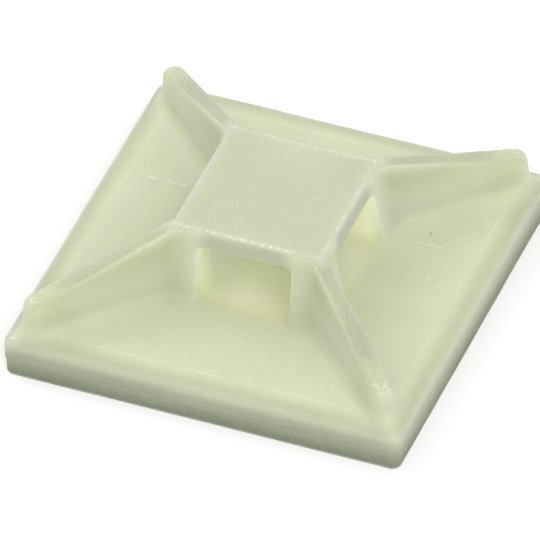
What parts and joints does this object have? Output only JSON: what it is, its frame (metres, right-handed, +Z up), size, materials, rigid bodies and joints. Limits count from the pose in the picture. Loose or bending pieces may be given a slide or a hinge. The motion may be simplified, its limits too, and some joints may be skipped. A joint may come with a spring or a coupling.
{
  "type": "cable tie mount",
  "caption": "Square self-adhesive cable tie mount: a saddle with crossing tie passages, ribs down to the plate's corners, foam pad and release liner.",
  "frame": {"origin": "middle of the release liner's underside, the face the mount rests on", "axes": "+Z up out of the plate through the saddle's middle, +X and +Y along the plate's sides and along the two tie passages, -Y towards the viewer's side of the picture"},
  "size_m": [0.019, 0.019, 0.0058],
  "materials": {
    "nylon": "natural translucent nylon, fine spark-eroded grain on the level faces and smooth rim and rib sides",
    "foam": "soft closed-cell foam, cut edge",
    "liner": "thin coated release paper, cut edge"
  },
  "bodies": {
    "root": {"mount_body": "nylon", "adhesive_pad": "foam", "release_liner": "liner"}
  },
  "joints": []
}
